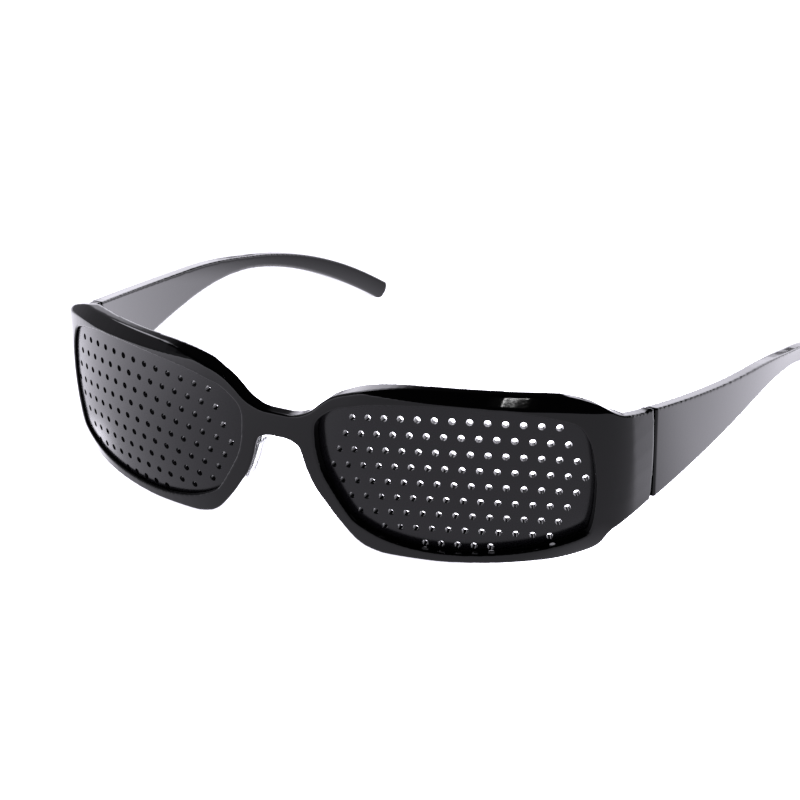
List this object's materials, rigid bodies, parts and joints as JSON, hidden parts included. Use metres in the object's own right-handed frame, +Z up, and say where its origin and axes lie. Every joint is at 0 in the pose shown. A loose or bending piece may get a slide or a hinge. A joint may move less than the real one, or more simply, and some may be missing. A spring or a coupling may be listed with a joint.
{
  "type": "pinhole glasses",
  "caption": "Wraparound glasses in dark plastic with two curved shades full of pinholes, folding tapered temples on barrel hinges and clear nose pads.",
  "frame": {"origin": "middle of the open glasses' width and length, on the floor they stand on", "axes": "+X to the wearer's left, across the face; +Y back along the temples; +Z up"},
  "size_m": [0.1396, 0.1396, 0.0353],
  "materials": {
    "frame_plastic": "gloss black",
    "shade_plastic": "satin black",
    "temple_plastic": "gloss black",
    "clear_pad": "clear soft plastic",
    "hinge_metal": "satin",
    "screw_metal": "bright"
  },
  "bodies": {
    "front": {"front_frame": "frame_plastic", "pinhole_lens_left": "shade_plastic", "pinhole_lens_right": "shade_plastic", "nose_pad_left": "clear_pad", "nose_pad_right": "clear_pad", "front_hinge_leaf_left": "hinge_metal", "front_hinge_leaf_right": "hinge_metal", "hinge_screw_left": "screw_metal", "hinge_screw_right": "screw_metal"},
    "right_temple": {"temple_right": "temple_plastic", "temple_hinge_leaf_right": "hinge_metal"},
    "left_temple": {"temple_left": "temple_plastic", "temple_hinge_leaf_left": "hinge_metal"}
  },
  "joints": [
    {"name": "right_temple_fold", "type": "hinge", "parent": "front", "child": "right_temple", "pos_m": [0.06164, -0.0395, 0.0188], "axis": [0, 0, 1], "range_deg": [0, 90]},
    {"name": "left_temple_fold", "type": "hinge", "parent": "front", "child": "left_temple", "pos_m": [-0.06164, -0.0395, 0.0188], "axis": [0, 0, -1], "range_deg": [0, 84]}
  ]
}
